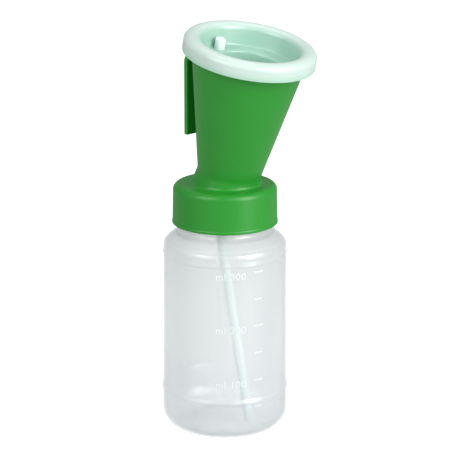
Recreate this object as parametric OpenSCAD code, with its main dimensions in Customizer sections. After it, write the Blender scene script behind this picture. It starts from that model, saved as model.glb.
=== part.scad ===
// Non-return teat dip cup on a squeeze bottle.
// +Z is up and the origin is the centre of the bottle's foot. The cup leans towards +X,
// and its belt hook is on the -X side. Squeezing the bottle drives liquid up the dip tube,
// through the cap's roof and the delivery tube, and out above the ledge of the inner cup.

/* [Bottle] */
// Radius of the bottle's body near its foot
body_r = 33.1; // [32.6:0.1:34]
// Radius of the bottle's body below the shoulder, less than near the foot for draft
top_r = 32.3; // [32:0.1:32.6]
// Depth of the recessed label panel
panel_depth = 0.15; // [0.1:0.05:0.6]
// Height of the panel's lower edge
panel_low = 23.7; // [20:0.1:30]
// Height of the panel's upper edge
panel_high = 94.8; // [85:0.1:95]
// Radius of the rounding between wall and foot
foot_round = 9.8; // [5:0.1:10]
// How far in the shoulder's rounding would reach as a full quarter
shoulder_in = 14.3; // [12:0.1:15]
// How far up the shoulder's rounding would reach as a full quarter
shoulder_up = 9.4; // [8:0.1:10]
// Height where the shoulder starts to round
shoulder_z = 98.9; // [98:0.1:99.4]
// Thickness of the blown wall
bottle_wall = 1; // [0.8:0.1:1.4]
// How far the foot is pushed up in the middle
push_up = 3; // [1:0.5:5]
// Outer radius of the neck
neck_r = 23; // [22:0.1:23.2]
// Height of the neck's mouth
neck_top = 128.65; // [126:0.05:128.65]

/* [Screw thread] */
// Rise of the thread in one turn
pitch = 4; // [3.6:0.1:4.4]
// Turns of thread on the neck and in the cap
thread_turns = 1; // [0.8:0.1:1.2]
// Height of the middle of the neck's thread where it starts
thread_z = 118.3; // [116:0.1:119]
// How far the neck's thread stands out
neck_thread_h = 1.4; // [1:0.1:1.5]
// How far the cap's thread stands in
cap_thread_h = 1.5; // [1:0.1:1.6]

/* [Screw cap] */
// Height of the cap's lower edge
cap_z = 111.5; // [110:0.1:112]
// Height of the cap's flat top
cap_top = 132.3; // [132.3:0.1:133]
// Outer radius at the cap's lower edge
cap_r = 27.5; // [27:0.1:28]
// How much smaller the radius is at the top, for draft
cap_draft = 0.4; // [0:0.1:0.8]
// Radius of the rounded top edge
cap_edge = 3.2; // [1:0.1:3.4]
// Inner radius of the cap
cap_bore_r = 25.2; // [25:0.1:25.4]
// Thickness of the cap's roof
roof = 2; // [1.6:0.1:2.2]
// Thickness of the sealing ring
seal_h = 1.55; // [1.2:0.05:1.55]

/* [Cup] */
// Lean of the cup's axis from upright
tilt = 12.5; // [8:0.5:15]
// Height where the cup's axis crosses the bottle's axis
tilt_z = 125.2; // [125:0.1:127]
// Radius of the cup's cone on the tilt point
cone_r0 = 13.8; // [13.5:0.1:15]
// Growth of the cone's radius along its axis
cone_slope = 0.199; // [0.19:0.001:0.21]
// Thickness of the cone's wall
cup_wall = 1.6; // [1.2:0.1:2]
// Distance along the cup's axis to the waist above the collar
waist_s = 14; // [12:0.5:16]
// Growth of the collar's radius below the waist
collar_slope = 0.226; // [0.15:0.005:0.3]
// Distance along the cup's axis to the top of its rim
rim_s = 83.4; // [82:0.1:84]
// Outer radius of the rim's flange
flange_r = 32.4; // [31.5:0.1:32.4]
// Thickness of the flange
flange_h = 1.6; // [1.2:0.1:2.4]

/* [Belt hook] */
// Width of the hook
hook_w = 24; // [16:1:28]
// Thickness of the hook
hook_t = 2.5; // [2:0.1:3]
// Distance from the bottle's axis to the hook's outer face
hook_x = 18.1; // [17:0.1:20]
// Height of the hook's lower end
hook_low = 157; // [150:0.5:170]
// Height where the hook starts to bend in to the cup
hook_bend_z = 195; // [190:0.5:196]
// Outer radius of the bend
hook_bend_r = 5.5; // [4:0.5:6]

/* [Inner cup] */
// Outer radius at the lower edge of the skirt
skirt_r = 34.1; // [34:0.1:35]
// Distance along the cup's axis to the lower edge of the skirt
skirt_s = 76.9; // [76:0.1:79]
// Distance along the cup's axis to the top of the lip
lip_s = 85.6; // [85:0.1:86]
// Inner radius of the upper band at the lip
band_r = 25.5; // [25:0.1:26]
// Distance along the cup's axis to the ledge
ledge_s = 74.5; // [73:0.5:75]
// Inner radius of the ledge, where the well starts
well_r = 16.6; // [16:0.1:16.8]
// Inner radius of the well just above its floor
well_floor_r = 8; // [7:0.1:8.1]
// Distance along the cup's axis to the well's floor
well_floor_s = 15; // [15:0.5:20]
// Wall of the inner cup
liner = 1.05; // [0.9:0.05:1.1]

/* [Tubes] */
// Outer radius of both tubes
tube_r = 2.75; // [2.5:0.05:2.8]
// Bore radius of both tubes
tube_bore = 1.75; // [1.2:0.05:2]
// Distance of the outlet from the cup's axis
outlet_rho = 20.8; // [20.7:0.1:20.9]
// Distance along the cup's axis to the outlet's top
outlet_s = 80; // [78:0.5:81]
// Distance along the cup's axis to the delivery tube's bend
bend_s = 68; // [62:0.5:69]
// Radius of the delivery tube's bend at its middle
bend_r = 20; // [12:1:40]
// Distance of the dip tube's lower end from the bottle's axis
dip_x = 18.5; // [10:0.5:24.5]
// Height of the middle of the dip tube's lower end
dip_z = 5; // [4.5:0.5:10]

/* [Hidden] */
$fn = 128;

ARC = 10;                       // steps in a quarter circle of an outline
GREEN = [0.24, 0.66, 0.27];
MILKY = [0.90, 0.92, 0.91, 0.6];
PALE = [0.86, 0.96, 0.92, 0.8];

panel_r = body_r - panel_depth;
bead_r = body_r + 0.25;         // rounded bead under the panel
bead_half = 1.4;
neck_foot_z = shoulder_z + 8.6; // flat step between shoulder and neck
shoulder_mid = top_r - shoulder_in;
foot_r = body_r - foot_round;
recess_r = foot_r - 2.5;

// point in the roof where the dip tube's line meets the delivery tube's line
port_x = -9;
port_z = 131.8;
socket_r = tube_r + 1.5;
dip_socket = 10;                // depth of the socket under the roof
delivery_socket = 7;            // depth of the socket above the roof
roof_gap = 2.4;                 // from the port to the bottom of each socket
port_r = tube_bore + 0.35;      // small round chamber where the two lines meet

// the port in the cup's own axes, out from its axis and along it
port_rho = -port_x * cos(tilt) + (port_z - tilt_z) * sin(tilt);
port_s = (port_z - tilt_z) * cos(tilt) + port_x * sin(tilt);
riser_lean = atan2(outlet_rho - port_rho, bend_s - port_s);
dip_lean = atan2(dip_x - port_x, port_z - dip_z);

// points on an arc in the outline's plane, centre c, from angle a to angle b
function arc(c, rx, rz, a, b, n = ARC) =
    [for (i = [0 : n]) let (t = a + (b - a) * i / n) [c[0] + rx * cos(t), c[1] + rz * sin(t)]];

// half outline of the bottle's outer surface, taken in by w for the inner surface
function bottle_outline(w) = concat(
    [[0, push_up + w], [recess_r * 0.5, push_up + w], [recess_r - w, w]],
    arc([foot_r, foot_round], foot_round - w, foot_round - w, -90, 0),
    [[body_r - w, panel_low - 2 * bead_half - 1],
     [bead_r - w, panel_low - 2 * bead_half + 0.3],
     [bead_r - w, panel_low - bead_half + 0.4],
     [panel_r - w, panel_low],
     [top_r - w, panel_high],
     [top_r + panel_depth - w, panel_high + 0.8]],
    arc([shoulder_mid, shoulder_z], shoulder_in - w, shoulder_up - w, 0, 60),
    [[neck_r - w + 1.5, neck_foot_z - w],
     [neck_r - w, neck_foot_z - w + 1],
     [neck_r - w, neck_top]]);

// a thread: a rib of four-cornered section that climbs round the Z axis
// root_r is inside the wall that carries it, and h is signed, outwards or inwards
module thread(root_r, h, root_w, crest_w, z0, turns) {
    steps = ceil(36 * turns);
    fade = 5;                   // steps over which each end runs out
    bury = 0.3;
    section = function (k) let (
        f = min(1, k / fade, (steps - k) / fade),
        a = 360 * turns * k / steps,
        z = z0 + pitch * a / 360,
        crest = root_r + h * max(f, 0.02),
        base = root_r - sign(h) * bury)
        [for (p = [[base, -root_w], [crest, -crest_w], [crest, crest_w], [base, root_w]])
            [p[0] * cos(a), p[0] * sin(a), z + p[1] * (0.3 + 0.7 * f)]];
    turn = h > 0 ? [3, 2, 1, 0] : [0, 1, 2, 3];
    points = [for (k = [0 : steps]) for (i = turn) section(k)[i]];
    sides = [for (k = [0 : steps - 1]) for (i = [0 : 3]) let (j = (i + 1) % 4)
        [4 * k + i, 4 * (k + 1) + i, 4 * (k + 1) + j, 4 * k + j]];
    polyhedron(points = points,
        faces = concat([[0, 1, 2, 3]], sides, [[for (i = [3 : -1 : 0]) 4 * steps + i]]),
        convexity = 6);
}

// puts its children in the cup's own axes: Z along the cup, X towards the lean
module in_cup() translate([0, 0, tilt_z]) rotate([0, tilt, 0]) children();

// puts its children on the delivery tube's line, starting at the port
module on_riser() in_cup() translate([-port_rho, 0, port_s]) rotate([0, -riser_lean, 0]) children();

// puts its children on the dip tube's line, starting at the port and going down
module on_dip() translate([port_x, 0, port_z]) rotate([0, 180 - dip_lean, 0]) children();

module bottle() color(MILKY) {
    rotate_extrude() difference() {
        polygon(concat(bottle_outline(0), [[0, neck_top]]));
        polygon(concat(bottle_outline(bottle_wall), [[0, neck_top]]));
    }
    thread(neck_r, neck_thread_h, 1.1, 0.55, thread_z, thread_turns);
}

module neck_seal() color("whitesmoke")
    translate([0, 0, neck_top + 0.05]) difference() {
        cylinder(r = neck_r - 0.1, h = seal_h);
        translate([0, 0, -1]) cylinder(r = neck_r - 3, h = seal_h + 2);
    }

// half outline of the cap's outer surface
function cap_outline() = concat(
    [[0, cap_z], [cap_r + 0.15, cap_z], [cap_r + 0.15, cap_z + 1.2], [cap_r, cap_z + 1.6]],
    arc([cap_r - cap_draft - cap_edge, cap_top - cap_edge], cap_edge, cap_edge, 0, 90),
    [[0, cap_top]]);

// solid outside of the cone and its flange, in the cup's axes, from s0 up
module cone_outside(s0)
    rotate_extrude() polygon([
        [0, s0], [cone_r0 + cone_slope * s0, s0],
        [cone_r0 + cone_slope * (rim_s - flange_h - 1), rim_s - flange_h - 1],
        [flange_r - 0.4, rim_s - flange_h], [flange_r, rim_s - flange_h + 0.4],
        [flange_r, rim_s - 0.4], [flange_r - 0.4, rim_s], [0, rim_s]]);

// solid outside of the collar below the waist, cut off inside the cap's roof
module collar() {
    waist_r = cone_r0 + cone_slope * waist_s;
    drop = waist_s + 6;
    intersection() {
        in_cup() translate([0, 0, waist_s - drop])
            cylinder(r1 = waist_r + collar_slope * drop, r2 = waist_r, h = drop);
        translate([0, 0, cap_top - roof / 2]) cylinder(r = 60, h = 60);
    }
}

// space inside the cone, in the cup's axes, open at the rim
module cone_space() {
    s0 = -6;
    r = function (s) cone_r0 - cup_wall + cone_slope * s;
    translate([0, 0, s0]) cylinder(r1 = r(s0), r2 = r(rim_s + 1), h = rim_s + 1 - s0);
}

// belt hook: a flat strip that hangs beside the cup and bends in to its wall
module hook_strip() {
    bend_x = -(hook_x - hook_bend_r);
    side = concat(
        [[-hook_x + hook_t, hook_low], [-hook_x + 0.6, hook_low], [-hook_x, hook_low + 0.6]],
        arc([bend_x, hook_bend_z], hook_bend_r, hook_bend_r, 180, 90),
        [[0, hook_bend_z + hook_bend_r], [0, hook_bend_z + hook_bend_r - hook_t]],
        arc([bend_x, hook_bend_z], hook_bend_r - hook_t, hook_bend_r - hook_t, 90, 180));
    rotate([90, 0, 0]) linear_extrude(height = hook_w, center = true) polygon(side);
}

module cup_body() color(GREEN) {
    difference() {
        union() {
            difference() {
                rotate_extrude() polygon(cap_outline());
                translate([0, 0, cap_z - 1]) cylinder(r = cap_bore_r, h = cap_top - roof - cap_z + 1);
            }
            difference() {
                union() {
                    intersection() {
                        in_cup() cone_outside(0);
                        translate([0, 0, cap_top - roof / 2]) cylinder(r = 80, h = 120);
                    }
                    collar();
                    hook_strip();
                }
                intersection() {
                    in_cup() cone_space();
                    translate([0, 0, cap_top]) cylinder(r = 80, h = 120);
                }
            }
            intersection() {
                on_riser() cylinder(r = socket_r, h = roof_gap + delivery_socket);
                translate([0, 0, cap_top - roof / 2]) cylinder(r = 40, h = 40);
                in_cup() translate([0, 0, -6]) cylinder(r1 = cone_r0 - 2, r2 = cone_r0 + 5, h = 40);
            }
            intersection() {
                on_dip() cylinder(r = socket_r, h = roof_gap + dip_socket);
                translate([0, 0, cap_z]) cylinder(r = cap_bore_r, h = cap_top - roof / 2 - cap_z);
            }
        }
        on_riser() translate([0, 0, roof_gap]) cylinder(r = tube_r, h = delivery_socket + 5);
        on_dip() translate([0, 0, roof_gap]) cylinder(r = tube_r, h = dip_socket + 5);
        on_riser() cylinder(r = tube_bore, h = roof_gap + 1);
        on_dip() cylinder(r = tube_bore, h = roof_gap + 1);
        translate([port_x, 0, port_z]) sphere(r = port_r);
    }
    thread(cap_bore_r, -cap_thread_h, 0.8, 0.4, thread_z - pitch / 2, thread_turns);
}

// half outline of the inner cup in its own axes, as a closed shape
function inner_cup_outline() = let (
    lip_r = (skirt_r + band_r) / 2, lip_half = (skirt_r - band_r) / 2,
    lip_low = lip_s - 3.4,
    seat_s = rim_s + 0.05, rim_gap = 0.3,
    round = 1.6, floor_round = 6,
    wall = function (s) well_floor_r + (well_r - well_floor_r) * (s - well_floor_s)
        / (ledge_s - well_floor_s),
    band = band_r - (lip_low - ledge_s) * cone_slope)
    concat(
        // outside, from the floor's middle to the skirt
        [[0, well_floor_s - liner], [well_floor_r - floor_round / 2, well_floor_s - liner]],
        [[well_floor_r + liner, well_floor_s + floor_round / 2]],
        [[wall(ledge_s - liner) + liner, ledge_s - liner],
         [band + liner, ledge_s - liner],
         [band_r + liner, lip_low], [band_r + liner + 0.7, seat_s],
         [flange_r + rim_gap, seat_s], [flange_r + rim_gap, skirt_s],
         [skirt_r - 0.3, skirt_s], [skirt_r, skirt_s + 0.3]],
        // over the lip and down the inside
        arc([lip_r, lip_low], lip_half, 3.4, 0, 180, 2 * ARC),
        [[band, ledge_s + 0.5], [band - 0.5, ledge_s]],
        arc([well_r + round, ledge_s - round], round, round, 90, 170, 6),
        [[wall(well_floor_s + floor_round), well_floor_s + floor_round]],
        arc([well_floor_r - floor_round + 1, well_floor_s + floor_round], floor_round, floor_round,
            -15, -90, 6),
        [[0, well_floor_s]]);

module inner_cup() color(PALE) in_cup() difference() {
    rotate_extrude() polygon(inner_cup_outline());
    translate([-outlet_rho, 0, ledge_s - 5]) cylinder(r = tube_r + 0.3, h = 8);
}

// delivery tube: up the hook's side between the two cups, then parallel to the cup's axis
module delivery_tube() color("white") {
    sides = 32;
    bend_steps = 6;
    tangent = bend_r * tan(riser_lean / 2);
    along = function (d) [port_rho + d * sin(riser_lean), port_s + d * cos(riser_lean), riser_lean];
    // stations along the tube: distance out from the cup's axis, distance along it, lean
    line = concat(
        [along(roof_gap)],
        [for (i = [0 : bend_steps]) let (lean = riser_lean * (1 - i / bend_steps))
            [outlet_rho - bend_r * (1 - cos(lean)), bend_s + tangent - bend_r * sin(lean), lean]],
        [[outlet_rho, outlet_s, 0]]);
    last = len(line) - 1;
    ring = function (at, r) [for (j = [0 : sides - 1]) let (a = 360 * j / sides)
        [-at[0] - r * cos(a) * cos(at[2]), r * sin(a), at[1] - r * cos(a) * sin(at[2])]];
    outside = [for (at = line) each ring(at, tube_r)];
    inside = [for (at = line) each ring(at, tube_bore)];
    bore = len(outside);
    in_cup() polyhedron(points = concat(outside, inside), convexity = 6, faces = concat(
        [for (k = [0 : last - 1]) for (j = [0 : sides - 1]) let (n = (j + 1) % sides, m = k + 1)
            [k * sides + n, m * sides + n, m * sides + j, k * sides + j]],
        [for (k = [0 : last - 1]) for (j = [0 : sides - 1]) let (n = (j + 1) % sides, m = k + 1)
            [bore + k * sides + j, bore + m * sides + j, bore + m * sides + n, bore + k * sides + n]],
        [for (j = [0 : sides - 1]) let (n = (j + 1) % sides) [bore + j, bore + n, n, j]],
        [for (j = [0 : sides - 1]) let (n = (j + 1) % sides, e = last * sides)
            [e + j, e + n, bore + e + n, bore + e + j]]));
}

module dip_tube() color("white") {
    run = (port_z - dip_z) / cos(dip_lean) - roof_gap;
    on_dip() translate([0, 0, roof_gap]) difference() {
        cylinder(r = tube_r, h = run);
        translate([0, 0, -1]) cylinder(r = tube_bore, h = run + 2);
    }
}

bottle();
neck_seal();
cup_body();
inner_cup();
delivery_tube();
dip_tube();
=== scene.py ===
"""Looks of the teat dip cup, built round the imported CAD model.

Lengths are in millimetres and become metres only where a mesh is made; the stage's are in metres.
"""

import math

import bmesh
import bpy
from mathutils import Matrix, Vector


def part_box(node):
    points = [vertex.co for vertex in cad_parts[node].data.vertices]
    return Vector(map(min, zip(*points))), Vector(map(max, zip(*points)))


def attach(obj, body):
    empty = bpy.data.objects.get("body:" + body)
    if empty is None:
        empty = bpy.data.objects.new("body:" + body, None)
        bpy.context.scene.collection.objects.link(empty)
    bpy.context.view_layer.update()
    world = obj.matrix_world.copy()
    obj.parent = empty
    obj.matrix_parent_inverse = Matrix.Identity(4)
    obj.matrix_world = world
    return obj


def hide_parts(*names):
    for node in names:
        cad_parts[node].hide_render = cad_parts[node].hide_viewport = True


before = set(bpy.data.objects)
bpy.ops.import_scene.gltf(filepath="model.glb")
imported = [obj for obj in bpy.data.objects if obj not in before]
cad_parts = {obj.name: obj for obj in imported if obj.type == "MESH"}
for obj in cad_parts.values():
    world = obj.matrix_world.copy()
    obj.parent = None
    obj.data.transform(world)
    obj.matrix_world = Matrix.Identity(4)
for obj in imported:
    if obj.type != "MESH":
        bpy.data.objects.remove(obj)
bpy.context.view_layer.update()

MM = 0.001
TURN = 2 * math.pi

# ---------------------------------------------------------------- driving dimensions

# Bottle: a foot, a bead, a panel that narrows slightly upwards, a step, a shoulder and a neck
BODY_R = 33.1
TOP_R = 32.3
PANEL_DEPTH = 0.15
PANEL_R = BODY_R - PANEL_DEPTH
PANEL_LOW = 23.7
PANEL_HIGH = 94.8
BEAD_R = BODY_R + 0.42
STEP_R = TOP_R + PANEL_DEPTH + 0.15
FOOT_ROUND = 9.8
FOOT_R = BODY_R - FOOT_ROUND
SHOULDER_IN = 14.3
SHOULDER_UP = 9.4
SHOULDER_Z = 98.9
SHOULDER_MID = TOP_R - SHOULDER_IN
NECK_FOOT = SHOULDER_Z + 8.6
BOTTLE_WALL = 1.0
PUSH_UP = 3.0
NECK_R = 23.0
NECK_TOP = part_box("bottle")[1].z / MM

# Volume marks: the level of each, and where ticks and labels stand round the bottle, from +X
MARKS = {50: 17.6, 100: 32.2, 150: 47.0, 200: 61.8, 250: 76.2, 300: 90.6}
TICK_AZIMUTH = math.radians(-13.5)
TICK_RISE = 1.7
TICK_LONG = 5.6
TICK_SHORT = 4.6
TICK_HALF = 0.5
LABEL_AZIMUTH = math.radians(-40)
LABEL_SIZE = 5.2
RELIEF = 0.3
SUNK = 0.05

# Screw thread
PITCH = 4.0
THREAD_Z = 118.3
THREAD_TURNS = 1.0
NECK_THREAD_H = 1.4
CAP_THREAD_H = 1.5

# Screw cap
CAP_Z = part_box("cup_body")[0].z / MM
CAP_TOP = 132.3
CAP_R = 27.5
CAP_DRAFT = 0.4
CAP_EDGE = 3.2
CAP_BORE_R = 25.2
ROOF = 2.0

# Cup: r is measured from its leaning axis, and s along that axis from TILT_Z
TILT = math.radians(12.5)
TILT_Z = 125.2
CONE_R0 = 13.8
CONE_SLOPE = 0.199
CUP_WALL = 1.6
WAIST_S = 14.0
COLLAR_SLOPE = 0.226
RIM_S = 83.4
FLANGE_R = 32.4
FLANGE_H = 1.6

# Belt hook
HOOK_W = 24.0
HOOK_T = 2.5
HOOK_X = 18.1
HOOK_LOW = 157.0
HOOK_BEND_Z = 195.0
HOOK_BEND_R = 5.5

# Inner cup
SKIRT_R = 34.1
SKIRT_S = 76.9
LIP_S = 85.6
LIP_H = 3.4
BAND_R = 25.5
LEDGE_S = 74.5
WELL_R = 16.6
WELL_FLOOR_R = 8.0
WELL_FLOOR_S = 15.0
LINER = 1.05

# Tubes: both start at the port, a point (x, z) in the cap's roof
TUBE_R = 2.75
TUBE_BORE = 1.75
OUTLET_EDGE = 0.45
OUTLET_RHO = 20.8
OUTLET_S = 80.0
BEND_S = 68.0
BEND_R = 20.0
PORT = (-9.0, 131.8)
DIP_END = (18.5, 5.0)
SOCKET_R = TUBE_R + 1.5
ROOF_GAP = 2.4
DIP_SOCKET = 10.0
DELIVERY_SOCKET = 7.0

CUP_AXIS = Vector((math.sin(TILT), 0, math.cos(TILT)))
CUP_OUT = Vector((math.cos(TILT), 0, -math.sin(TILT)))
CUP_ORIGIN = Vector((0, 0, TILT_Z))

PORT_RHO = -PORT[0] * math.cos(TILT) + (PORT[1] - TILT_Z) * math.sin(TILT)
PORT_S = (PORT[1] - TILT_Z) * math.cos(TILT) + PORT[0] * math.sin(TILT)
RISER_LEAN = math.atan2(OUTLET_RHO - PORT_RHO, BEND_S - PORT_S)
DIP_LEAN = math.atan2(DIP_END[0] - PORT[0], PORT[1] - DIP_END[1])

SEGMENTS = 192
TUBE_SEGMENTS = 48
SHARP = 35                      # degrees between faces that keep an edge
TUBE_SHARP = 60

# ---------------------------------------------------------------- outlines


def rounded(points, steps=6):
    """An outline through (x, y) or (x, y, radius) points, with an arc of that radius at each such corner."""
    out = []
    for i, point in enumerate(points):
        corner = Vector(point[:2])
        radius = point[2] if len(point) > 2 else 0
        if radius <= 0 or i in (0, len(points) - 1):
            out.append(corner)
            continue
        back = Vector(points[i - 1][:2]) - corner
        ahead = Vector(points[i + 1][:2]) - corner
        room = 0.49 * min(back.length, ahead.length)
        back.normalize()
        ahead.normalize()
        half = back.angle(ahead) / 2
        reach = min(radius / math.tan(half), room)
        radius = reach * math.tan(half)
        centre = corner + (back + ahead).normalized() * (radius / math.sin(half))
        arm = corner + back * reach - centre
        sign = 1 if arm.cross(corner + ahead * reach - centre) > 0 else -1
        for k in range(steps + 1):
            turn = sign * (math.pi - 2 * half) * k / steps
            out.append(centre + Vector((
                arm.x * math.cos(turn) - arm.y * math.sin(turn),
                arm.x * math.sin(turn) + arm.y * math.cos(turn))))
    return [(p.x, p.y) for p in out]


def arc(centre, rx, ry, start, end, steps=12):
    """Points on an elliptical arc; angles in degrees."""
    return [(centre[0] + rx * math.cos(math.radians(start + (end - start) * k / steps)),
             centre[1] + ry * math.sin(math.radians(start + (end - start) * k / steps)))
            for k in range(steps + 1)]


def spaced(outline, step):
    """The outline with extra points, so that none of its stretches is longer than step."""
    out = [outline[0]]
    for a, b in zip(outline, outline[1:]):
        count = max(1, math.ceil(math.dist(a, b) / step))
        out += [(a[0] + (b[0] - a[0]) * k / count, a[1] + (b[1] - a[1]) * k / count)
                for k in range(1, count + 1)]
    return out


# ---------------------------------------------------------------- placing and meshing


def about_z(r, z, angle):
    """A point at a distance from the bottle's axis, at a height, and at an angle from +X."""
    return Vector((r * math.cos(angle), r * math.sin(angle), z))


def about_cup(r, s, angle):
    """Distance from the cup's axis, distance along it, and angle about it from the side it leans to."""
    return CUP_ORIGIN + CUP_AXIS * s + CUP_OUT * (r * math.cos(angle)) + Vector((0, r * math.sin(angle), 0))


def ring(place, r, s):
    """Points all round one of the two axes, placed by about_z or about_cup."""
    return [place(r, s, TURN * k / SEGMENTS) for k in range(SEGMENTS)]


def lathe_rows(outline, place=about_z):
    """Rings along an outline; a point on the axis becomes a single point."""
    return [[place(0, s, 0)] if r < 1e-6 else ring(place, r, s) for r, s in outline]


def skin(rows, closed=False, ends=False):
    """Vertices and faces through rows of points: closed joins the last row to the first, ends caps both."""
    verts, faces, starts = [], [], []
    for row in rows:
        starts.append(len(verts))
        verts += row
    pairs = list(zip(range(len(rows)), range(1, len(rows))))
    if closed:
        pairs.append((len(rows) - 1, 0))
    for i, j in pairs:
        a, b = starts[i], starts[j]
        na, nb = len(rows[i]), len(rows[j])
        for k in range(max(na, nb)):
            n = (k + 1) % max(na, nb)
            if na == 1:
                faces.append((a, b + n, b + k))
            elif nb == 1:
                faces.append((a + k, a + n, b))
            else:
                faces.append((a + k, a + n, b + n, b + k))
    if ends:
        faces.append(tuple(range(starts[0] + len(rows[0]) - 1, starts[0] - 1, -1)))
        faces.append(tuple(range(starts[-1], starts[-1] + len(rows[-1]))))
    return verts, faces


def linked(name, data):
    """A new object in the scene."""
    obj = bpy.data.objects.new(name, data)
    bpy.context.scene.collection.objects.link(obj)
    return obj


def evaluated_mesh(obj):
    """A mesh of an object as its modifiers or text settings shape it."""
    graph = bpy.context.evaluated_depsgraph_get()
    return bpy.data.meshes.new_from_object(obj.evaluated_get(graph))


def make_object(name, shells, sharp=SHARP):
    """One object from several closed shells, each (vertices, faces) in millimetres."""
    verts, faces = [], []
    for shell_verts, shell_faces in shells:
        base = len(verts)
        verts += [Vector(v) * MM for v in shell_verts]
        faces += [tuple(base + i for i in face) for face in shell_faces]
    mesh = bpy.data.meshes.new(name)
    mesh.from_pydata(verts, [], faces)
    work = bmesh.new()
    work.from_mesh(mesh)
    bmesh.ops.recalc_face_normals(work, faces=work.faces)
    work.to_mesh(mesh)
    work.free()
    mesh.shade_smooth()
    mesh.set_sharp_from_angle(angle=math.radians(sharp))
    return linked(name, mesh)


def apply_modifiers(obj):
    mesh = evaluated_mesh(obj)
    obj.modifiers.clear()
    obj.data = mesh


def finish_piece(obj, body, material, replaces=()):
    """Give a piece its material, the body it moves with and the CAD nodes it stands for."""
    obj.data.materials.clear()
    obj.data.materials.append(material)
    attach(obj, body)
    if replaces:
        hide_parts(*replaces)


def thread_shell(root_r, height, root_w, crest_w, z0):
    """A rib that climbs round the Z axis; height is signed, outwards or inwards."""
    steps = int(96 * THREAD_TURNS)
    fade = 12                   # steps over which each end rises to the full height
    bury = 0.3                  # depth of the rib's root in the wall
    rows = []
    for k in range(steps + 1):
        f = min(1.0, k / fade, (steps - k) / fade)
        swell = math.sin(f * math.pi / 2)
        angle = TURN * THREAD_TURNS * k / steps
        z = z0 + PITCH * angle / TURN
        tall = height * max(swell, 0.02)
        wide = 0.3 + 0.7 * swell
        section = [
            (root_r - math.copysign(bury, height), -root_w),
            (root_r, -root_w), (root_r + 0.75 * tall, -crest_w * 1.25), (root_r + tall, -crest_w * 0.7),
            (root_r + tall, crest_w * 0.7), (root_r + 0.75 * tall, crest_w * 1.25), (root_r, root_w),
            (root_r - math.copysign(bury, height), root_w)]
        rows.append([about_z(r, z + dz * wide, angle) for r, dz in section])
    return skin(rows, ends=True)


# ---------------------------------------------------------------- materials


class Nodes:
    """Short ways to add nodes to one material."""

    def __init__(self, name):
        self.material = bpy.data.materials.new(name)
        self.material.use_nodes = True
        self.tree = self.material.node_tree
        self.tree.nodes.clear()
        self.output = self.tree.nodes.new("ShaderNodeOutputMaterial")
        self.place = self.tree.nodes.new("ShaderNodeTexCoord").outputs["Object"]

    def add(self, kind, **inputs):
        node = self.tree.nodes.new(kind)
        for key, value in inputs.items():
            self.set(node.inputs[key.replace("_", " ")], value)
        return node

    def set(self, socket, value):
        if isinstance(value, bpy.types.NodeSocket):
            self.tree.links.new(value, socket)
        else:
            socket.default_value = value

    def maths(self, kind, operation, *values):
        """The outputs of a Math or VectorMath node of these values."""
        node = self.tree.nodes.new("ShaderNode" + kind)
        node.operation = operation
        for socket, value in zip(node.inputs, values):
            self.set(socket, value)
        return node.outputs

    def noise(self, scale, detail=2.0, stretch=(1, 1, 1)):
        mapping = self.add("ShaderNodeMapping", Vector=self.place, Scale=stretch)
        return self.add("ShaderNodeTexNoise", Vector=mapping.outputs[0], Scale=scale, Detail=detail,
                        Roughness=0.5).outputs["Fac"]

    def ramp(self, value, low, high):
        """A noise value spread softly over low to high."""
        node = self.add("ShaderNodeMapRange", Value=value)
        node.interpolation_type = "SMOOTHSTEP"
        node.inputs["From Min"].default_value = 0.2
        node.inputs["From Max"].default_value = 0.8
        node.inputs["To Min"].default_value = low
        node.inputs["To Max"].default_value = high
        return node.outputs[0]

    def spread(self, value, low, high):
        """0 where value is low, rising to 1 where it is high."""
        node = self.add("ShaderNodeMapRange", Value=value)
        node.inputs["From Min"].default_value = low
        node.inputs["From Max"].default_value = high
        return node.outputs[0]

    def blend(self, share, first, second):
        """A colour between two; a Mix node's colours are its inputs 6 and 7 and its output 2."""
        node = self.add("ShaderNodeMix")
        node.data_type = "RGBA"
        self.set(node.inputs[0], share)
        self.set(node.inputs[6], first)
        self.set(node.inputs[7], second)
        return node.outputs[2]

    def tint(self, value, first, second):
        """A colour between two, by a noise value."""
        return self.blend(self.ramp(value, 0.0, 1.0), (*first, 1), (*second, 1))

    def sheen(self):
        """How much a smooth plastic wall mirrors: a little face on, and more towards its edges."""
        facing = self.add("ShaderNodeLayerWeight", Blend=0.5).outputs["Facing"]
        steep = self.maths("Math", "POWER", facing, 4.0)[0]
        return self.maths("Math", "MULTIPLY_ADD", steep, 0.3, 0.06)[0]

    def finished(self, surface):
        """The material, with this shader on its surface."""
        self.set(self.output.inputs["Surface"], surface)
        return self.material

    def bump(self, *layers):
        """Bump from (height, depth in millimetres) layers."""
        normal = None
        for height, depth in layers:
            node = self.add("ShaderNodeBump", Height=height, Strength=1.0, Distance=depth * MM)
            if normal is not None:
                self.set(node.inputs["Normal"], normal)
            normal = node.outputs[0]
        return normal


def moulded_green():
    """Satin polypropylene: fine mould texture, faint flow and slight changes of tone."""
    n = Nodes("moulded_green")
    tone = n.noise(26.0, 3.0, stretch=(1, 1, 0.45))
    fine = n.noise(1500.0)
    peel = n.noise(210.0)
    shader = n.add(
        "ShaderNodeBsdfPrincipled",
        Base_Color=n.tint(tone, (0.013, 0.247, 0.016), (0.019, 0.275, 0.022)),
        Roughness=n.ramp(n.noise(60.0, 3.0), 0.34, 0.42),
        Normal=n.bump((peel, 0.02), (fine, 0.006)),
        Subsurface_Weight=0.1, Subsurface_Radius=(0.4, 1.0, 0.4), Subsurface_Scale=0.002,
        Specular_IOR_Level=0.5, IOR=1.49)
    return n.finished(shader.outputs[0])


def mixed(n, share, first, second):
    """Two shaders mixed, with this share of the second."""
    mix = n.add("ShaderNodeMixShader")
    for socket, value in zip(mix.inputs, (share, first, second)):
        n.set(socket, value)
    return mix.outputs[0]


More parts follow.
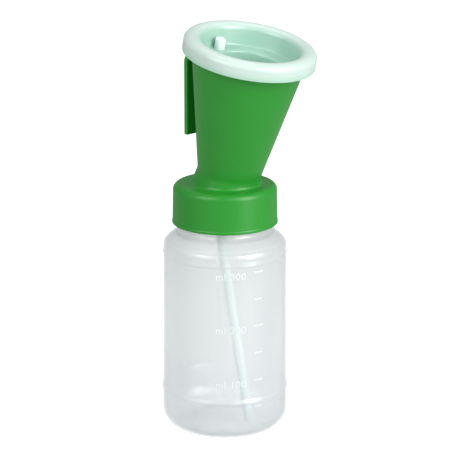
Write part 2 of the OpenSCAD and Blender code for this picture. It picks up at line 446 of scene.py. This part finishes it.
def thin_plastic(n, colour, roughness, normal, glow, clear):
    """A thin satin wall: light comes straight through its clear share, and diffused through its glow share.

    Its roughness stays above 0.28, where the wall counts as a surface for the picture's denoiser.
    """
    shader = n.add(
        "ShaderNodeBsdfPrincipled", Base_Color=colour, Roughness=roughness, Normal=normal,
        Specular_IOR_Level=0.0)
    behind = n.add("ShaderNodeBsdfTranslucent", Color=colour)
    through = n.add("ShaderNodeBsdfTransparent")
    gloss = n.add("ShaderNodeBsdfGlossy", Color=(1, 1, 1, 1), Roughness=roughness)
    body = mixed(n, clear, mixed(n, glow, shader.outputs[0], behind.outputs[0]), through.outputs[0])
    return n.finished(mixed(n, n.sheen(), body, gloss.outputs[0]))


def milky_bottle():
    """Unpigmented polyethylene, milky and a little see-through, darker and greyer towards the foot."""
    n = Nodes("milky_bottle")
    tone = n.noise(34.0, 1.0, stretch=(1, 1, 0.3))
    streak = n.noise(120.0, 1.0, stretch=(1, 1, 0.12))
    wall = n.tint(tone, (0.685, 0.72, 0.725), (0.745, 0.775, 0.78))
    foot = n.tint(tone, (0.60, 0.635, 0.65), (0.66, 0.69, 0.705))
    height = n.add("ShaderNodeSeparateXYZ", Vector=n.place).outputs[2]
    colour = n.blend(n.spread(height, 15 * MM, 45 * MM), foot, wall)
    roughness = n.ramp(n.noise(80.0, 1.0), 0.28, 0.31)
    return thin_plastic(n, colour, roughness, n.bump((streak, 0.006)), glow=0.45, clear=0.65)


def moulded_marks():
    """The same plastic, standing out and therefore thicker and whiter."""
    n = Nodes("moulded_marks")
    colour = n.tint(n.noise(90.0), (0.76, 0.79, 0.80), (0.82, 0.85, 0.86))
    roughness = n.ramp(n.noise(80.0, 3.0), 0.28, 0.32)
    return thin_plastic(n, colour, roughness, n.bump((n.noise(420.0), 0.004)), glow=0.4, clear=0.55)


def pale_liner():
    """White liner, thick at the lip, and thin enough below it for the green behind to tint it; inside the
    cup its colour is also painted darker and greener, as painted shade of the hollow.
    """
    n = Nodes("pale_liner")
    tone = n.noise(40.0)
    lip = n.tint(tone, (0.75, 0.89, 0.83), (0.81, 0.92, 0.87))
    # wall: partly the green behind showing through the thin wall, partly painted shade and painted
    # interreflection inside the cup's hollow
    wall = n.tint(tone, (0.45, 0.74, 0.62), (0.52, 0.79, 0.67))
    hem = n.tint(tone, (0.54, 0.84, 0.68), (0.60, 0.87, 0.72))
    offset = n.maths("VectorMath", "SUBTRACT", n.place, CUP_ORIGIN * MM)["Vector"]
    across = n.maths("VectorMath", "CROSS_PRODUCT", offset, CUP_AXIS)["Vector"]
    reach = n.maths("VectorMath", "LENGTH", across)["Value"]
    along = n.maths("VectorMath", "DOT_PRODUCT", offset, CUP_AXIS)["Value"]
    outer = n.blend(n.spread(along, SKIRT_S * MM, (SKIRT_S + 3.5) * MM), hem, lip)
    # Within the band's radius, inside the cup, the wall colour with its painted shade; outside it the lip
    # and hem
    colour = n.blend(n.spread(reach, (BAND_R - 0.5) * MM, (BAND_R + 2) * MM), wall, outer)
    roughness = n.ramp(n.noise(70.0, 3.0), 0.29, 0.36)
    normal = n.bump((n.noise(180.0), 0.01), (n.noise(900.0), 0.003))
    return thin_plastic(n, colour, roughness, normal, glow=0.3, clear=0.12)


def tube_white():
    """Extruded white polyethylene."""
    n = Nodes("tube_white")
    colour = n.tint(n.noise(50.0), (0.69, 0.79, 0.76), (0.73, 0.82, 0.79))
    shader = n.add(
        "ShaderNodeBsdfPrincipled", Base_Color=colour,
        Roughness=n.ramp(n.noise(90.0), 0.30, 0.42),
        Normal=n.bump((n.noise(300.0, stretch=(1, 1, 0.1)), 0.01)),
        Subsurface_Weight=0.3, Subsurface_Radius=(1.0, 1.0, 1.0), Subsurface_Scale=0.002)
    return n.finished(shader.outputs[0])


def seal_rubber():
    """Pale matt rubber."""
    n = Nodes("seal_rubber")
    shader = n.add(
        "ShaderNodeBsdfPrincipled",
        Base_Color=n.tint(n.noise(90.0), (0.55, 0.55, 0.52), (0.66, 0.66, 0.63)),
        Roughness=n.ramp(n.noise(200.0), 0.65, 0.8), Normal=n.bump((n.noise(700.0), 0.02)))
    return n.finished(shader.outputs[0])


# ---------------------------------------------------------------- pieces


def on_shoulder(across, up, radius):
    """A corner at these shares of the shoulder's width and height."""
    return SHOULDER_MID + SHOULDER_IN * across, SHOULDER_Z + SHOULDER_UP * up, radius


def bottle_outline():
    """Half outline of the bottle's outside, from the middle of the foot to the neck's mouth."""
    underside = rounded([
        (0, PUSH_UP), (FOOT_R * 0.5, PUSH_UP, 6), (FOOT_R - 2.2, 0.15, 1.2), (FOOT_R, 0, 0.4)])
    foot = arc((FOOT_R, FOOT_ROUND), FOOT_ROUND, FOOT_ROUND, -82, 0, 16)
    side = rounded([
        (BODY_R, FOOT_ROUND + 1), (BODY_R, PANEL_LOW - 4.2, 2), (BEAD_R, PANEL_LOW - 2.6, 0.8),
        (BEAD_R, PANEL_LOW - 1.8, 0.6), (PANEL_R, PANEL_LOW, 1.2), (TOP_R, PANEL_HIGH, 0.8),
        (STEP_R, PANEL_HIGH + 0.8, 0.6), (TOP_R, SHOULDER_Z - 1, 2), (TOP_R, SHOULDER_Z)])
    turn_in = arc((SHOULDER_MID, SHOULDER_Z), SHOULDER_IN, SHOULDER_UP, 2, 17, 7)
    top = rounded([
        on_shoulder(0.93, 0.31, 0.3), on_shoulder(0.84, 0.49, 3), on_shoulder(0.57, 0.82, 1.2),
        (NECK_R, NECK_FOOT + 0.1, 2.6), (NECK_R, NECK_TOP, 0.35), (NECK_R - BOTTLE_WALL, NECK_TOP)])
    return underside + foot + side + turn_in + top


def inset(outline, depth):
    """The outline moved to its left by depth."""
    points = [Vector(p) for p in outline]
    out = []
    for i, p in enumerate(points):
        ahead = points[min(i + 1, len(points) - 1)] - points[max(i - 1, 0)]
        normal = Vector((-ahead.y, ahead.x)).normalized()
        q = p + normal * depth
        out.append((max(q.x, 0), q.y))
    return out


def build_bottle(material):
    """Wall and thread, which cast no shadow, so that light reaches the tube inside."""
    outside = bottle_outline()
    outside = [p for i, p in enumerate(outside) if i == 0 or math.dist(p, outside[i - 1]) > 1e-4]
    wall = [p for p in outside if p[0] >= NECK_R - 0.01 or p[1] < SHOULDER_Z]
    inside = inset(wall, BOTTLE_WALL)
    inside[-1] = (NECK_R - BOTTLE_WALL, NECK_TOP - 0.4)
    inside[0] = (0, inside[0][1])
    outline = spaced(outside + inside[::-1], 3.0)
    shells = [skin(lathe_rows(outline)), thread_shell(NECK_R, NECK_THREAD_H, 1.1, 0.55, THREAD_Z)]
    obj = make_object("bottle_body", shells)
    obj.visible_shadow = False
    finish_piece(obj, "bottle", material, ["bottle"])


def cap_rows():
    """The cap from the middle of its roof's underside, round its edge, to its flat top."""
    side = rounded([
        (0, CAP_TOP - ROOF), (CAP_BORE_R, CAP_TOP - ROOF, 1.0), (CAP_BORE_R, CAP_Z + 0.5),
        (CAP_BORE_R + 0.4, CAP_Z, 0.3), (CAP_R + 0.18, CAP_Z, 0.35), (CAP_R + 0.18, CAP_Z + 1.2, 0.4),
        (CAP_R - 0.03, CAP_Z + 1.7, 0.4), (CAP_R - CAP_DRAFT, CAP_TOP - CAP_EDGE)])
    top = arc((CAP_R - CAP_DRAFT - CAP_EDGE, CAP_TOP - CAP_EDGE), CAP_EDGE, CAP_EDGE, 8, 90, 12)
    return lathe_rows(spaced(side + top, 2.5))


def mix_rows(first, second, steps, control=None):
    """Rows between two, straight or, with a control row, along a quadratic curve."""
    rows = []
    for k in range(1, steps + 1):
        t = k / steps
        if control is None:
            rows.append([a.lerp(b, t) for a, b in zip(first, second)])
        else:
            rows.append([a * (1 - t) ** 2 + c * (2 * t * (1 - t)) + b * t ** 2
                         for a, c, b in zip(first, control, second)])
    return rows


def plane_row(radius_at, height):
    """Where a surface round the cup's axis, of radius radius_at(s), meets a level plane."""
    row = []
    for k in range(SEGMENTS):
        angle = TURN * k / SEGMENTS
        s = 5.0
        for _ in range(20):
            s = (height - TILT_Z + radius_at(s) * math.cos(angle) * math.sin(TILT)) / math.cos(TILT)
        row.append((about_cup(radius_at(s), s, angle), s, angle))
    return row


def cone_r(s):
    """The cone's outer radius at s along the cup's axis."""
    return CONE_R0 + CONE_SLOPE * s


def cone_bore_r(s):
    """The cone's inner radius at s."""
    return CONE_R0 - CUP_WALL + CONE_SLOPE * s


def collar_r(s):
    """The outer radius at s of the collar, which widens downwards from the waist."""
    return cone_r(WAIST_S) + COLLAR_SLOPE * (WAIST_S - s)


def cup_body_shell():
    """The screw cap, the collar that flares down to it, and the cone outside and inside, in one skin."""
    fillet = 1.7                # where the collar meets the cap's top
    soft = 1.6                  # how far the waist's rounding reaches each way
    rows = cap_rows()
    foot = plane_row(collar_r, CAP_TOP)
    corner = [p for p, _, _ in foot]
    on_top = [p + (edge - p).normalized() * fillet for p, edge in zip(corner, rows[-1])]
    on_collar = [about_cup(collar_r(s + fillet), s + fillet, angle) for _, s, angle in foot]
    below = ring(about_cup, collar_r(WAIST_S - soft), WAIST_S - soft)
    waist = ring(about_cup, cone_r(WAIST_S), WAIST_S)
    above = ring(about_cup, cone_r(WAIST_S + soft), WAIST_S + soft)
    rows += mix_rows(rows[-1], on_top, 2)
    rows += mix_rows(on_top, on_collar, 8, corner)
    rows += mix_rows(on_collar, below, 3)
    rows += mix_rows(below, above, 7, waist)
    under = RIM_S - FLANGE_H
    rim = rounded([
        (cone_r(WAIST_S + soft + 2), WAIST_S + soft + 2), (cone_r(under - 0.6), under - 0.6, 0.8),
        (FLANGE_R, under, 0.4), (FLANGE_R, RIM_S, 0.4), (cone_bore_r(RIM_S), RIM_S, 0.3),
        (cone_bore_r(RIM_S - 4), RIM_S - 4)])
    rows += lathe_rows(spaced(rim, 4.0), about_cup)
    floor = [p for p, _, _ in plane_row(cone_bore_r, CAP_TOP)]
    rows += mix_rows(rows[-1], floor, 16)
    middle = sum(floor, Vector()) / len(floor)
    rows.append([middle])
    return skin(rows)


def tube_rows(line, radius):
    """Rings round a line of (point, direction) in the XZ plane."""
    angles = [TURN * k / TUBE_SEGMENTS for k in range(TUBE_SEGMENTS)]
    rows = []
    for point, along in line:
        side = Vector((0, 1, 0)).cross(along).normalized()
        rows.append([point + side * (radius * math.cos(a)) + Vector((0, radius * math.sin(a), 0))
                     for a in angles])
    return rows


def pipe_shell(line, outer, bore, edge=0.25):
    """A hollow tube along a line, its ends slightly rounded."""
    first, last = line[0], line[-1]
    ends_in = [(first[0] + first[1] * edge, first[1])] + line[1:-1] + [(last[0] - last[1] * edge, last[1])]
    outside = tube_rows(ends_in, outer)
    inside = tube_rows(ends_in, bore)
    start = tube_rows([first], outer - edge) + tube_rows([first], bore + edge)
    stop = tube_rows([last], outer - edge) + tube_rows([last], bore + edge)
    rows = [start[0]] + outside + [stop[0], stop[1]] + inside[::-1] + [start[1]]
    return skin(rows, closed=True)


def riser_point(distance):
    """A point on the delivery tube's straight run, and its direction."""
    rho = PORT_RHO + distance * math.sin(RISER_LEAN)
    s = PORT_S + distance * math.cos(RISER_LEAN)
    along = CUP_AXIS * math.cos(RISER_LEAN) - CUP_OUT * math.sin(RISER_LEAN)
    return about_cup(-rho, s, 0), along


def dip_point(distance):
    """A point on the dip tube, and its direction."""
    along = Vector((math.sin(DIP_LEAN), 0, -math.cos(DIP_LEAN)))
    return Vector((PORT[0], 0, PORT[1])) + along * distance, along


def hook_wall_x(y, z):
    """X of the middle of the cone's wall on the hook's side."""
    s = (z - TILT_Z) * math.cos(TILT)
    for _ in range(20):
        r = cone_r(s) - CUP_WALL / 2
        out = -math.sqrt(r * r - y * y)
        s = (z - TILT_Z + out * math.sin(TILT)) / math.cos(TILT)
    return s * math.sin(TILT) + out * math.cos(TILT)


def hook_shell():
    """A strip with its upper end bent in to the cone's wall, as sections from side to side."""
    sections = 25
    steps = 8
    bend = (-(HOOK_X - HOOK_BEND_R), HOOK_BEND_Z)
    inner_r = HOOK_BEND_R - HOOK_T
    top = HOOK_BEND_Z + HOOK_BEND_R
    low = top - HOOK_T
    rise = HOOK_BEND_Z - HOOK_LOW
    front = [(-HOOK_X, HOOK_LOW + rise * k / steps) for k in range(steps)]
    front += arc(bend, HOOK_BEND_R, HOOK_BEND_R, 180, 90, 14)
    back = arc(bend, inner_r, inner_r, 90, 180, 14)
    back += [(-HOOK_X + HOOK_T, HOOK_BEND_Z - rise * k / steps) for k in range(1, steps + 1)]
    rows = []
    for i in range(sections):
        y = HOOK_W * (i / (sections - 1) - 0.5)
        outline = front + [(hook_wall_x(y, top), top), (hook_wall_x(y, low), low)] + back
        rows.append([Vector((x, y, z)) for x, z in outline])
    return skin(rows, ends=True)


def build_cup_body(material):
    """Cap, thread, cup and the two sockets as one piece, with the belt hook beside them."""
    dip_line = [dip_point(d) for d in (0.5, ROOF_GAP + DIP_SOCKET)]
    riser_line = [riser_point(d) for d in (1.0, ROOF_GAP + DELIVERY_SOCKET)]
    shells = [
        cup_body_shell(),
        thread_shell(CAP_BORE_R, -CAP_THREAD_H, 0.8, 0.4, THREAD_Z - PITCH / 2),
        pipe_shell(dip_line, SOCKET_R, TUBE_R),
        pipe_shell(riser_line, SOCKET_R, TUBE_R),
    ]
    obj = make_object("cup_and_cap", shells)
    finish_piece(obj, "head", material, ["cup_body"])
    hook = make_object("belt_hook", [hook_shell()])
    bevel = hook.modifiers.new("edges", "BEVEL")
    bevel.width = 0.45 * MM
    bevel.segments = 3
    bevel.limit_method = "ANGLE"
    bevel.angle_limit = math.radians(50)
    apply_modifiers(hook)
    finish_piece(hook, "head", material)


def inner_cup_outline():
    """Closed outline of the liner in the cup's axes, from the well's underside over the lip to its floor."""
    lip_low = LIP_S - LIP_H
    lip_mid = (SKIRT_R + BAND_R) / 2
    lip_half = (SKIRT_R - BAND_R) / 2
    band = BAND_R - (lip_low - LEDGE_S) * CONE_SLOPE
    under = LEDGE_S - LINER
    well = WELL_FLOOR_R + (WELL_R - WELL_FLOOR_R) * (under - WELL_FLOOR_S) / (LEDGE_S - WELL_FLOOR_S)
    outside = rounded([
        (0, WELL_FLOOR_S - LINER), (WELL_FLOOR_R + LINER - 0.4, WELL_FLOOR_S - LINER, 5),
        (well + LINER, under, 0.8), (band + LINER, under, 1.6),
        (BAND_R + LINER, lip_low, 0.8), (BAND_R + LINER + 0.7, RIM_S + 0.05, 0.3),
        (FLANGE_R + 0.3, RIM_S + 0.05, 0.2),
        (FLANGE_R + 0.3, SKIRT_S, 0.3), (SKIRT_R, SKIRT_S, 0.5), (SKIRT_R, lip_low - 0.5)])
    over = arc((lip_mid, lip_low), lip_half, LIP_H, 2, 176, 26)
    down = rounded([
        (BAND_R - 0.05, lip_low - 0.6), (band, LEDGE_S, 1.3), (WELL_R, LEDGE_S, 1.4),
        (WELL_FLOOR_R, WELL_FLOOR_S, 5.5), (0, WELL_FLOOR_S)])
    return spaced(outside + over + down, 3.0)


def build_inner_cup(material):
    """The liner, with a hole in its ledge for the delivery tube."""
    obj = make_object("inner_cup_liner", [skin(lathe_rows(inner_cup_outline(), about_cup))])
    hole = [(about_cup(-OUTLET_RHO, s, 0), CUP_AXIS) for s in (LEDGE_S - 5, LEDGE_S + 3)]
    drill = make_object("drill", [skin(tube_rows(hole, TUBE_R + 0.3), ends=True)])
    cut = obj.modifiers.new("outlet", "BOOLEAN")
    cut.operation = "DIFFERENCE"
    cut.solver = "EXACT"
    cut.object = drill
    apply_modifiers(obj)
    obj.data.set_sharp_from_angle(angle=math.radians(SHARP))
    bpy.data.objects.remove(drill)
    finish_piece(obj, "liner", material, ["inner_cup"])


def build_tubes(material):
    """The delivery tube, straight up from the port and bent to the cup's axis, and the dip tube."""
    tangent = BEND_R * math.tan(RISER_LEAN / 2)
    run = (BEND_S - PORT_S) / math.cos(RISER_LEAN) - tangent
    line = [riser_point(ROOF_GAP + (run - ROOF_GAP) * k / 6) for k in range(7)]
    for k in range(1, 9):
        lean = RISER_LEAN * (1 - k / 8)
        rho = OUTLET_RHO - BEND_R * (1 - math.cos(lean))
        s = BEND_S + tangent - BEND_R * math.sin(lean)
        line.append((about_cup(-rho, s, 0), CUP_AXIS * math.cos(lean) - CUP_OUT * math.sin(lean)))
    line.append((about_cup(-OUTLET_RHO, OUTLET_S, 0), CUP_AXIS))
    riser = make_object("delivery_pipe", [pipe_shell(line, TUBE_R, TUBE_BORE, OUTLET_EDGE)], TUBE_SHARP)
    finish_piece(riser, "head", material, ["delivery_tube"])
    length = (PORT[1] - DIP_END[1]) / math.cos(DIP_LEAN)
    line = [dip_point(ROOF_GAP + (length - ROOF_GAP) * k / 12) for k in range(13)]
    dip = make_object("dip_pipe", [pipe_shell(line, TUBE_R, TUBE_BORE)], TUBE_SHARP)
    finish_piece(dip, "head", material, ["dip_tube"])


def panel_r(z):
    """The panel's radius at a height."""
    return PANEL_R + (TOP_R - PANEL_R) * (z - PANEL_LOW) / (PANEL_HIGH - PANEL_LOW)


def wrapped(mesh, azimuth, level):
    """Vertices and faces of a flat mesh laid on the panel: x round it, y up, z outwards."""
    verts = [about_z(panel_r(level + v.co.y) - SUNK + v.co.z, level + v.co.y, azimuth + v.co.x / PANEL_R)
             for v in mesh.vertices]
    return verts, [tuple(p.vertices) for p in mesh.polygons]


def label_shell(text, level):
    """Raised figures on the panel."""
    curve = bpy.data.curves.new("label", "FONT")
    curve.body = text
    curve.size = LABEL_SIZE
    curve.space_character = 1.12
    curve.align_x = "CENTER"
    curve.align_y = "CENTER"
    curve.extrude = RELIEF / 2
    curve.bevel_depth = 0.07
    curve.resolution_u = 4
    obj = linked("label", curve)
    shell = wrapped(evaluated_mesh(obj), LABEL_AZIMUTH, level)
    bpy.data.objects.remove(obj)
    return shell


def tick_shell(level, length):
    """A low rounded bar round the panel."""
    steps = 8
    section = [(-0.1, -TICK_HALF), (RELIEF * 0.7, -TICK_HALF * 0.7), (RELIEF, 0),
               (RELIEF * 0.7, TICK_HALF * 0.7), (-0.1, TICK_HALF)]
    rows = []
    for k in range(steps + 1):
        angle = TICK_AZIMUTH + (k / steps - 0.5) * length / PANEL_R
        rows.append([about_z(panel_r(level) + r, level + z, angle) for r, z in section])
    return skin(rows, ends=True)


def build_marks(material):
    """A tick for every 50 ml and figures for every 100 ml, raised on the bottle."""
    shells = []
    for volume, level in MARKS.items():
        shells.append(tick_shell(level + TICK_RISE, TICK_SHORT if volume % 100 else TICK_LONG))
        if volume % 100 == 0:
            shells.append(label_shell(f"ml {volume}", level))
    obj = make_object("volume_marks", shells)
    obj.visible_shadow = False
    finish_piece(obj, "bottle", material)


# ---------------------------------------------------------------- stage

# Camera and lights are in metres and degrees
CAMERA_AZIMUTH = 44.5
CAMERA_DISTANCE = 0.961
CAMERA_HEIGHT = 0.382
CAMERA_YAW = math.radians(0.157)
CAMERA_PITCH = math.radians(15.99)
CAMERA_ROLL = math.radians(0.11)
CAMERA_LENS = 149.4             # millimetres, on a sensor SENSOR wide
SENSOR = 36.0
LIGHT_TARGET = Vector((0, 0, 0.11))


def pale_floor():
    """A wide floor, brighter to the camera than it lights the piece."""
    mesh = bpy.data.meshes.new("floor")
    half = 6.0
    corners = [(-half, -half, 0), (half, -half, 0), (half, half, 0), (-half, half, 0)]
    mesh.from_pydata(corners, [], [(0, 1, 2, 3)])
    obj = linked("floor", mesh)
    n = Nodes("floor_paper")
    seen = n.add("ShaderNodeLightPath").outputs["Is Camera Ray"]
    light = n.maths("Math", "MULTIPLY", seen, 0.9)[0]
    shader = n.add("ShaderNodeBsdfPrincipled", Base_Color=(0.5, 0.5, 0.5, 1),
                   Roughness=n.ramp(n.noise(30.0), 0.75, 0.85), Specular_IOR_Level=0.0,
                   Emission_Color=(1, 1, 1, 1), Emission_Strength=light)
    obj.data.materials.append(n.finished(shader.outputs[0]))


def soft_light(name, azimuth, elevation, distance, size, power):
    """An area light aimed at the bottle's middle; azimuth 0 is the -Y side, and 90 the +X side."""
    light = bpy.data.lights.new(name, "AREA")
    light.shape = "RECTANGLE"
    light.size, light.size_y = size
    light.energy = power
    obj = linked(name, light)
    a, e = math.radians(azimuth), math.radians(elevation)
    back = Vector((math.sin(a) * math.cos(e), -math.cos(a) * math.cos(e), math.sin(e)))
    obj.location = LIGHT_TARGET + back * distance
    obj.rotation_mode = "QUATERNION"
    obj.rotation_quaternion = (-back).to_track_quat("-Z", "Y")


def fitted_camera():
    """The camera, turned by its heading, pitch and roll."""
    camera = bpy.data.cameras.new("camera")
    camera.sensor_width = SENSOR
    camera.lens = CAMERA_LENS
    camera.clip_end = 50
    obj = linked("camera", camera)
    a = math.radians(CAMERA_AZIMUTH)
    obj.location = (CAMERA_DISTANCE * math.sin(a), -CAMERA_DISTANCE * math.cos(a), CAMERA_HEIGHT)
    heading = a - CAMERA_YAW
    level = math.cos(CAMERA_PITCH)
    ahead = Vector((-math.sin(heading) * level, math.cos(heading) * level, -math.sin(CAMERA_PITCH)))
    right = ahead.cross(Vector((0, 0, 1))).normalized()
    up = right.cross(ahead)
    turned_right = right * math.cos(CAMERA_ROLL) + up * math.sin(CAMERA_ROLL)
    turned_up = up * math.cos(CAMERA_ROLL) - right * math.sin(CAMERA_ROLL)
    obj.rotation_mode = "QUATERNION"
    obj.rotation_quaternion = Matrix((turned_right, turned_up, -ahead)).transposed().to_quaternion()
    bpy.context.scene.camera = obj


def pale_world():
    """Weak, even light from all round."""
    world = bpy.data.worlds.new("studio")
    world.use_nodes = True
    background = world.node_tree.nodes["Background"]
    background.inputs["Color"].default_value = (0.95, 0.97, 1.0, 1)
    background.inputs["Strength"].default_value = 0.35
    bpy.context.scene.world = world


# ---------------------------------------------------------------- the whole

green = moulded_green()
milky = milky_bottle()
marks = moulded_marks()
pale = pale_liner()
white = tube_white()
rubber = seal_rubber()

build_bottle(milky)
build_marks(marks)
build_cup_body(green)
build_inner_cup(pale)
build_tubes(white)
# The seal is the CAD model's own piece, with only its material changed
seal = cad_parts["neck_seal"]
seal.data.materials.clear()
seal.data.materials.append(rubber)

pale_floor()
pale_world()
# name, azimuth, elevation, distance, width and height, power in watts
soft_light("right", CAMERA_AZIMUTH + 50, 28, 1.4, (1.1, 1.0), 16.5)
soft_light("left", CAMERA_AZIMUTH - 45, 31, 1.4, (0.8, 0.8), 10)
soft_light("strip", CAMERA_AZIMUTH + 50, 4, 1.2, (0.25, 0.8), 5)
soft_light("above", CAMERA_AZIMUTH + 180, 78, 1.3, (0.8, 0.8), 3)
fitted_camera()
bpy.context.scene.view_settings.view_transform = "Standard"
